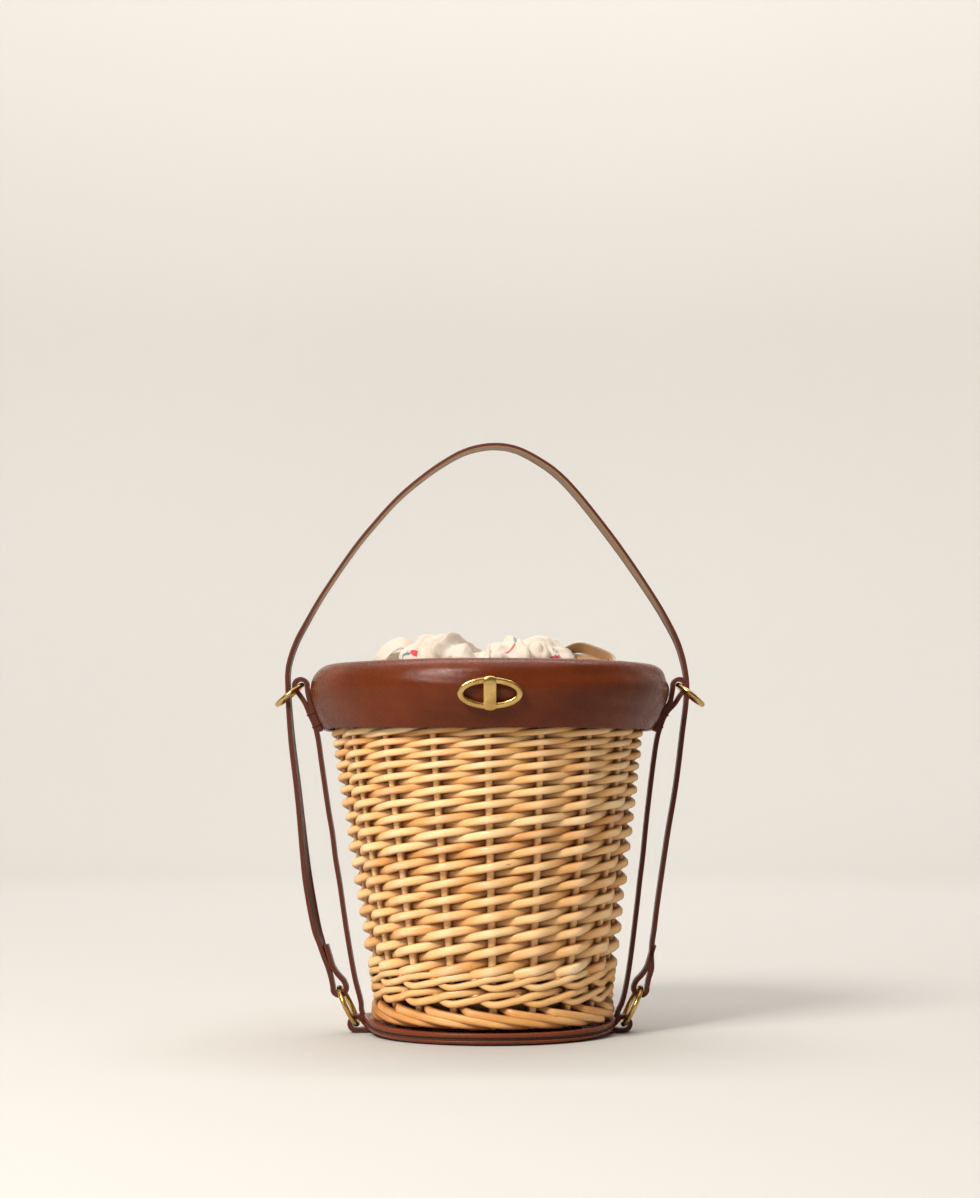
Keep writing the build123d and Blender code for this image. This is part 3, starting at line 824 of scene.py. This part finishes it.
def arc_points(centre, radius, start, end, count):
    turn = np.radians(np.linspace(start, end, count))
    return [(centre[0] + radius * math.cos(a), centre[1] + radius * math.sin(a)) for a in turn]


def fold_route():
    """The strap's end: down the tail and round the lower ring, on the left side."""
    tail = [(-93.2, 49.6), (-91.2, 43.0), (-89.4, 37.4), (-86.5, 33.0), (-83.4, 29.6)]
    return tail + arc_points(FOLD, 3.85, 15, -190, 9) + [(-90.3, 30.6), (-92.0, 36.6)]


def make_handle(leather):
    """One strap from ring to ring. It turns with the arch above the upper rings."""
    left = [(x, z, 0.0) for x, z in fold_route()]
    right = [(-x, z, 0.0) for x, z in reversed(fold_route())]
    middle = [(x, z, math.radians(turn)) for x, z, turn in HANDLE_LINE]
    path = smooth_path(left + middle + right, 0.9)
    piece = Piece()
    add_strap(piece, path, STRAP_WIDTH, STRAP_THICK, turn=path[:, 2], lined_above=LINING_FROM)
    handle = piece.build("handle_strap", leather, body=None, slot="brown_leather", sharp=50,
                         replaces=("handle_arc", "handle_lower_left", "handle_lower_right"))
    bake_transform(handle)


def side_route(line):
    """From under the basket up to the upper ring, over it, and down behind itself."""
    x, z = TOP_LOOP
    rise = [(-69.5, 4.6), (-71.3, 7.6), (-73.1, 12.6)] + line + [(-105.2, 187.2), (-108.0, 191.6)]
    arch = arc_points((x - 0.1, z), 3.65, 205, -12, 9)
    (low_x, low_z), (high_x, high_z) = line[-2:]
    back = [(-103.5, 192.4), (-102.3, 187.6), (high_x + 2.5, high_z), (low_x + 2.5, low_z),
            (low_x + 3.3, low_z - 2.6)]
    return rise + arch + back


def tab_route():
    x, z = TAB_LOOP
    return ([(-64.0, 2.4), (-69.0, 2.1), (-72.6, 1.5)] + arc_points((x, z), 3.9, -95, -300, 9)
            + [(-72.4, 6.9), (-70.6, 4.9), (-68.2, 4.0)])


def make_side(name, mirror, line, leather, thread):
    strap = Piece()
    add_strap(strap, smooth_path(side_route(line), 0.8), STRAP_WIDTH, SIDE_STRAP_THICK, mirror)
    strap.build(f"side_strap_{name}_leather", leather, replaces=(f"side_strap_{name}",),
                slot="brown_leather", sharp=50)
    tab = Piece()
    add_strap(tab, smooth_path(tab_route(), 0.5), STRAP_WIDTH, TAB_THICK, mirror)
    tab.build(f"base_tab_{name}_leather", leather, replaces=(f"base_tab_{name}",),
              slot="brown_leather", sharp=50)
    stitches = Piece()
    for x, z in line[-2:]:
        add_wrap(stitches, (x + 1.25, z), 2 * SIDE_STRAP_THICK + 0.05, mirror)
    stitches.build(f"strap_stitches_{name}", thread, slot="brown_leather", sharp=0)


def add_wrap(piece, centre, thick, mirror):
    """A flat turn of thread round a doubled strap."""
    x, z = centre
    across = np.array((0.917, 0.0, 0.399))
    half_w, half_t = STRAP_WIDTH / 2 + 0.05, thick / 2 + 0.05
    corners = [(-half_w, -half_t), (half_w, -half_t), (half_w, half_t), (-half_w, half_t)]
    loop = []
    for k in range(4):
        a, b = np.array(corners[k]), np.array(corners[(k + 1) % 4])
        for u in np.linspace(0.06, 0.94, 7):
            loop.append(a + (b - a) * u)
    loop = np.array(loop + [loop[0]])
    path = np.array([x, 0, z]) + loop[:, :1] * (0, 1, 0) + loop[:, 1:] * across
    if mirror:
        path = path * (-1, 1, 1)
        across = across * (-1, 1, 1)
    tangent = unit(np.gradient(path, axis=0))
    lift = np.broadcast_to(unit(np.cross(across, (0, 1, 0))), path.shape)
    side = np.cross(tangent, lift)
    verts, faces, _ = sweep(path, side, lift, circle_section(0.42, 8))
    piece.add(verts, faces)


def make_base_plate(leather, board):
    """Two round leathers with a board between them, curled up where the harness pulls."""
    def lift(angle, r, z):
        side = np.clip(np.abs(np.cos(angle)), 0, 1) ** 10
        pull = np.clip((r - 58) / 13.5, 0, 1) ** 1.6 * side
        height = np.where(np.cos(angle) < 0, 4.0, 2.6)
        wave = np.clip((r - 62) / 9, 0, 1) * wobble(angle, 41, 6, 0.28, first=2)
        return r + wobble(angle, 5, 4, 0.2), z + pull * height + np.clip(wave, -0.3, 0.6)

    def disc(low, high, radius, under, over):
        return [(0.5, low), (radius - 14, low), (radius - 3.4 * under, low),
                (radius - 0.6 * under, low + 0.35 * under), (radius, low + under),
                (radius, high - over), (radius - 0.3 * over, high - 0.3 * over),
                (radius - over, high), (radius - 2.5, high + 0.02), (radius - 2.9, high - 0.3),
                (radius - 3.3, high - 0.06), (radius - 6, high - 0.25), (radius - 10, high - 0.55),
                (radius - 25, high - 0.9), (0.5, high - 0.9)]

    columns = 320
    for name, outline, material in (
            ("base_leather_bottom", disc(0.25, 2.75, 71.4, 1.95, 0.45), leather),
            ("base_board", disc(2.6, 4.2, 70.5, 0.3, 0.3), board),
            ("base_leather_top", disc(4.15, 6.7, 71.6, 0.5, 0.6), leather)):
        verts, faces, _ = lathe(outline, columns, lift)
        radius = max(r for r, _ in outline)
        rim = [0.45 if r > radius - 0.4 else 0.0 for r, _ in outline]
        groove = [0.8 if abs(r - (radius - 2.9)) < 0.05 else 0.0 for r, _ in outline]
        piece = Piece()
        piece.add(verts, faces, edge=np.tile(rim, columns), seam=np.tile(groove, columns))
        piece.build(f"{name}_layer", material, replaces=(name,),
                    slot="board" if name == "base_board" else "brown_leather", sharp=45)


def offset_line(points, distance):
    points = np.asarray(points, float)
    tangent = unit(np.gradient(points, axis=0))
    normal = np.stack([tangent[:, 1], -tangent[:, 0]], 1)
    return points + normal * distance


def make_collar(leather, facing_leather):
    """A full leather band over the rim: puffed shoulder, uneven lower edge, soft dents."""
    line = smooth_path(COLLAR_LINE, 1.1)
    outside = offset_line(line, COLLAR_THICK / 2)
    inside = offset_line(line, -COLLAR_THICK / 2)[::-1]
    lip = [tuple(outside[0] * 0.5 + inside[-1] * 0.5 + (0.0, -0.35))]
    profile = np.concatenate([outside, inside, lip])
    share = np.concatenate([np.linspace(0, 1, len(line)), np.linspace(1, 0, len(line)), [0]])

    def soften(angle, r, z):
        puff = np.sin(math.pi * np.clip(share, 0, 1)) ** 1.2
        dents = wobble(angle, 3, 9, 0.55, first=2) + wobble(angle + 5 * share, 8, 14, 0.34, first=5)
        fold = np.exp(-((share - 0.56 + 0.04 * np.sin(3 * angle)) / 0.085) ** 2)
        low_fold = np.exp(-((share - 0.24 - 0.03 * np.sin(4 * angle)) / 0.06) ** 2)
        right = np.clip(np.cos(angle + 0.65), 0, 1) ** 1.5
        dents = dents + (1.3 - 2.0 * fold - 0.9 * low_fold) * right
        top = np.clip((share - 0.45) / 0.3, 0, 1)
        hem = np.clip(1 - share / 0.22, 0, 1)
        low = np.clip(1 - share / 0.62, 0, 1) ** 0.7
        ripple = 0.22 * top * wobble(angle + 2.0 * share, 21, 22, 1.0, first=14)
        sag = hem * wobble(angle, 17, 7, 0.75, first=2) + top * wobble(angle, 31, 6, 0.38, first=2)
        return r + low * (0.7 - 1.1 * np.cos(angle)) + puff * dents + ripple, z + sag

    columns = 512
    verts, faces, _ = lathe(profile, columns, soften)
    piece = Piece()
    piece.add(verts, faces, edge=np.tile((share < 0.01) * 1.0, columns))
    piece.build("collar_band", leather, replaces=("collar_leather",), slot="collar_leather", sharp=0)
    strip = [(79.5, 177.2), (82.9, 203.6), (82.4, 204.0), (81.9, 203.4), (78.5, 177.0), (79.0, 176.6)]
    piece = Piece()
    piece.add(*lathe(strip, 200)[:2])
    piece.build("collar_facing_strip", facing_leather, replaces=("collar_facing",),
                slot="brown_leather", sharp=50)


# ---------------------------------------------------------------- brass
def add_wire_ring(piece, centre, tilt, size, mirror, upright, turned):
    """A round wire ring whose plane holds the Y axis, or is turned a little from it, with the
    fine line of its joint."""
    radius, wire = size
    lean, swing = math.radians(tilt), math.radians(turned)
    along = np.array((-math.sin(lean), 0, math.cos(lean)) if upright
                     else (math.cos(lean), 0, math.sin(lean)))
    across = np.array((0.0, 1.0, 0.0))
    normal = np.cross(along, across)
    across, normal = (across * math.cos(swing) + normal * math.sin(swing),
                      normal * math.cos(swing) - across * math.sin(swing))
    rows, columns = 120, 24
    turn = np.linspace(0, 2 * math.pi, rows, endpoint=False)
    out = np.cos(turn)[:, None] * along + np.sin(turn)[:, None] * across
    joint = np.exp(-((turn - 2.2) / 0.022) ** 2)
    thick = wire * (1 - 0.16 * joint)[:, None]
    around, rise = (thick * side for side in circle_section(1.0, columns).T)
    verts = (np.array((centre[0], 0, centre[1])) + out[:, None] * (radius + around)[..., None]
             + normal * rise[..., None])
    verts, faces = mirrored(verts.reshape(-1, 3), grid_faces(rows, columns, True, flip=True), mirror)
    piece.add(verts, faces, seam=np.repeat(joint, columns))


def make_rings(brass):
    kinds = (("top_ring", TOP_RING, TOP_RING_TILT, TOP_RING_SIZE, False, 0.0),
             ("bottom_ring", BOTTOM_RING, BOTTOM_RING_TILT, BOTTOM_RING_SIZE, True, BOTTOM_RING_TURN))
    for side, mirror in (("left", False), ("right", True)):
        for kind, centre, tilt, size, upright, turned in kinds:
            piece, name = Piece(), f"{kind}_{side}"
            add_wire_ring(piece, centre, tilt, size, mirror, upright, turned)
            piece.build(f"{name}_wire", brass, body=name, replaces=(name,), slot="brass", sharp=0)


def ornament_place(x, y, z):
    """From the ornament's own plane, x across, y up and z outwards, to the bag's frame."""
    lean = math.radians(12)
    origin = np.array((0, -101.1, 190.0))
    up = np.array((0, -math.sin(lean), math.cos(lean)))
    out = np.array((0, -math.cos(lean), -math.sin(lean)))
    return (origin + np.multiply.outer(x, (1.0, 0, 0)) + np.multiply.outer(y, up)
            + np.multiply.outer(z, out))


def squared(wave, power):
    """A sine or cosine with flatter tops, for rounded-square sections."""
    return np.sign(wave) * np.abs(wave) ** power


def make_ornament(brass):
    """A plain oval link of rounded band, held by a smooth sleeve at its middle."""
    rows, columns = 160, 28
    turn = np.linspace(0, 2 * math.pi, rows, endpoint=False)
    half_x, half_y, band, thick, height = 17.25, 8.5, 3.3, 2.4, 2.2
    inner_x, inner_y = half_x - band / 2, half_y - band / 2
    normal = unit(np.stack([np.cos(turn) / inner_x, np.sin(turn) / inner_y], 1))
    ring = np.linspace(0, 2 * math.pi, columns, endpoint=False)
    out = squared(np.cos(ring), 0.75) * band / 2
    rise = squared(np.sin(ring), 0.75) * thick / 2
    verts = ornament_place((inner_x * np.cos(turn))[:, None] + normal[:, :1] * out,
                           (inner_y * np.sin(turn))[:, None] + normal[:, 1:] * out, height + rise)
    # Painted shade on both sides of the band, carried in the seam value.
    shade = np.clip(np.abs(out) / (band / 2) - 0.86, 0, 0.14) / 0.14
    piece = Piece()
    piece.add(verts, grid_faces(rows, columns, closed=True), seam=0.75 * np.tile(shade, rows))
    piece.build("ornament_oval_link", brass, replaces=("ornament_link",), slot="brass", sharp=0)

    piece = Piece()
    loop = np.linspace(0, 2 * math.pi, 64, endpoint=False)
    rings = []
    for share in np.linspace(-1, 1, 25):
        rounding = math.sqrt(max(0.0, 1 - max(0.0, (abs(share) - 0.86) / 0.14) ** 2))
        swell = (1 - 0.10 * share ** 2) * (rounding * 0.06 + 0.94)
        y = 9.3 * swell * squared(np.sin(loop), 0.45)
        z = height + 2.15 * swell * squared(np.cos(loop), 0.6)
        rings.append(ornament_place(0 * loop + 3.3 * share, y, z))
    piece.add(rings, tube_faces(len(rings), len(loop)))
    piece.build("ornament_smooth_sleeve", brass, replaces=("ornament_sleeve",), slot="brass", sharp=40)


# ---------------------------------------------------------------- cotton pouch
def crumple(x, y, z, scale, start):
    """Sharp-edged creases: ridged noise over the surface, from -1 to 1."""
    points = np.stack([x * scale + start, y * scale, z * scale], -1).reshape(-1, 3)
    value = np.array([noise.noise(point) for point in points.tolist()])
    return (1 - 4.2 * np.abs(value)).clip(-1, 1).reshape(x.shape)


def add_cloth(piece, points, angle, share, flat, reverse):
    """A turned sheet of cotton, with each point's place on the flat cloth."""
    x, y, z = points
    around = (angle - angle[0, 0]) / (2 * math.pi) * flat[0]
    cloth = np.stack([around + 0 * z, share * flat[1] + 0 * z, 0 * z], -1)
    piece.add(np.stack([x, y, z], -1), grid_faces(*z.shape), cloth=cloth.reshape(-1, 3),
              reverse=reverse)


def make_pouch_top(cotton):
    """The gathered neck, and the frill that stands above the drawn string."""
    line = smooth_path(POUCH_LINE, 1.05)
    angle = np.linspace(0, 2 * math.pi, 720, endpoint=False)[None] - math.pi / 2
    r, z = line[:, :1] + 0 * angle, line[:, 1:] + 0 * angle
    tangent = unit(np.gradient(line, axis=0))
    nr, nz = tangent[:, 1:], -tangent[:, :1]
    share = (lengths(line) / lengths(line)[-1])[:, None]
    gather = np.clip((79.5 - r) / 27.0, 0, 1) ** 1.3
    frill = np.clip((share - 0.62) / 0.16, 0, 1)
    pinch = np.exp(-((r - 7.6) / 6.0) ** 2)

    phase = (19 * angle + 0.9 * np.sin(3 * angle + 1.0) + 1.3 * np.sin(2 * angle + 5 * share)
             + 0.5 * np.sin(7 * angle + 3 * share))
    swing = 0.5 + 0.5 * np.sin(4 * angle + 2.2 * np.sin(2 * angle) + 3 * share)
    pleat = ((0.55 + 0.75 * swing ** 2) * (0.75 * np.cos(phase)
             + 0.34 * np.cos(1.5 * phase + 2.2 + 2.5 * share) + 0.30 * np.cos(0.5 * phase + 2 * share)))
    move = pleat * (gather + 0.9 * frill) * (1.15 - 0.45 * pinch)
    x = (r + nr * move) * np.cos(angle)
    y = (r + nr * move) * np.sin(angle)
    height = z + nz * move

    puff = 2.8 * np.exp(-((x + 40) ** 2 + (y + 10) ** 2) / 200)
    for middle, width, deep in ((8, 9, 3.4), (28, 12, 0.8), (-6.5, 7, 10.5), (-50, 9, 2.2), (44, 9, 3.0)):
        puff = puff - deep * np.exp(-((x - middle) / width) ** 2)
    height = height + frill * np.clip((height - 209) / 10, 0, 1) * puff
    loose = 0.25 * gather + frill * (1 - 0.7 * pinch)
    for scale, size, start in ((1 / 19, 1.7, 3.0), (1 / 8.5, 0.75, 17.0), (1 / 4.0, 0.2, 31.0)):
        ridge = crumple(x, y, height + 30 * share, scale, start)
        x = x + nr * size * loose * ridge * np.cos(angle)
        y = y + nr * size * loose * ridge * np.sin(angle)
        height = height + (nz + 0.25) * size * loose * ridge
    over = np.clip(height - 221.5, 0, None)
    height = height - over + 6.2 * np.tanh(over / 6.2)

    piece = Piece()
    add_cloth(piece, (x, y, height), angle, share, POUCH_FLAT_M, reverse=0.0)
    top = piece.build("pouch_gathered_top", cotton, slot="printed_cotton", sharp=0,
                      replaces=("pouch_neck", "pouch_frill", "drawstring_casing"))


def make_pouch_cup(cotton):
    """The pouch's body inside the basket, with a soft slack against the willow."""
    line = smooth_path(CUP_LINE, 3.0)
    angle = np.linspace(0, 2 * math.pi, 240, endpoint=False)[None]
    r, z = line[:, :1] + 0 * angle, line[:, 1:] + 0 * angle
    wall = np.clip((z - 16) / 30, 0, 1) * np.clip((186 - z) / 20, 0, 1)
    r = r - wall * (1.0 + wobble(angle + 0.01 * z, 61, 9, 0.7, first=3))
    piece = Piece()
    down = (lengths(line) * MM / CUP_FLAT_M[1])[:, None]
    add_cloth(piece, (r * np.cos(angle), r * np.sin(angle), z), angle, down, CUP_FLAT_M, reverse=1.0)
    cup = piece.build("pouch_body", cotton, replaces=("pouch_cup",), slot="printed_cotton", sharp=0)


def make_drawstring(name, mirror, cotton, route, twist):
    """A flat cotton ribbon, doubled under the frill and opening into a loose loop."""
    path = smooth_path(route, 0.8)
    run = lengths(path)
    tangent = unit(np.gradient(path, axis=0))
    lean = np.radians(twist * np.sin(math.pi * run / run[-1]))
    base = np.broadcast_to((0.0, 1.0, 0.0), path.shape)
    lift = unit(np.cross(base, tangent))
    side = base * np.cos(lean)[:, None] + lift * np.sin(lean)[:, None]
    lift = unit(np.cross(side, tangent))
    half, thin = 4.85, 0.35
    under = [(x * half, -thin) for x in (-1, -0.82, -0.7, 0, 0.7, 0.82, 1)]
    over = [(-x, thin) for x, _ in under]
    section = np.array(under + [(half + 0.15, 0)] + over + [(-half - 0.15, 0)])
    verts, faces, along = sweep(path, side, lift, section)
    inner = (section[:, 1] > 0.2) * (np.abs(section[:, 0]) < 0.75 * half) * 1.0
    cloth = np.stack([along * MM, np.tile(section[:, 0], len(path)) * MM, 0 * along], 1)
    piece = Piece()
    piece.add(*mirrored(verts, faces, mirror), cloth=cloth, reverse=np.tile(inner, len(path)))
    made = piece.build(f"drawstring_{name}_ribbon", cotton, body=f"drawstring_{name}",
                       replaces=(f"drawstring_{name}",), slot="plain_cotton", sharp=40)


# ---------------------------------------------------------------- assembly
make_camera()
make_stage()
willow = willow_material()
strap_leather = leather_material("strap_leather", (0.125, 0.029, 0.013), (0.082, 0.018, 0.008))
plate_leather = leather_material("plate_leather", (0.285, 0.064, 0.024), (0.21, 0.046, 0.016),
                                 gloss=0.27)
collar_leather = leather_material("collar_leather", (0.142, 0.0275, 0.0062), (0.096, 0.0185, 0.0042),
                                  pore_scale=1700.0, gloss=0.27, crease=0.22)
thread = leather_material("waxed_thread", (0.085, 0.024, 0.014), (0.055, 0.015, 0.010), gloss=0.5)
brass = brass_material()
printed = cotton_material("printed_cotton", True)
ribbon = cotton_material("ribbon_cotton", False)
board = plain_material("fibre_board", (0.05, 0.025, 0.015), (0.09, 0.045, 0.028), 900.0, 0.8)
wadding = plain_material("wadding", (0.62, 0.58, 0.50), (0.80, 0.77, 0.70), 500.0, 0.95)

make_stakes(willow)
make_rand_weave(willow)
make_waling("waling_upper", 34.2, 2.05, willow, 200)
make_waling("waling_lower", 25.2, 2.15, willow, 300)
make_foot_border(willow)
make_rim_rods(willow)
make_base_weave(willow)
make_base_plate(plate_leather, board)
make_collar(collar_leather, strap_leather)
make_handle(strap_leather)
make_side("left", False, LEFT_SIDE_LINE, strap_leather, thread)
make_side("right", True, RIGHT_SIDE_LINE, strap_leather, thread)
make_rings(brass)
make_ornament(brass)
make_pouch_cup(printed)
make_pouch_top(printed)
make_drawstring("right", False, ribbon, RIGHT_LOOP, 40)
make_drawstring("left", True, ribbon, LEFT_LOOP, -44)

for node, material in (("collar_padding", wadding), ("base_rivets", brass), ("ornament_posts", brass),
                       ("ornament_backing", brass)):
    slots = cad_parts[node].data.materials
    slots.clear()
    slots.append(material)
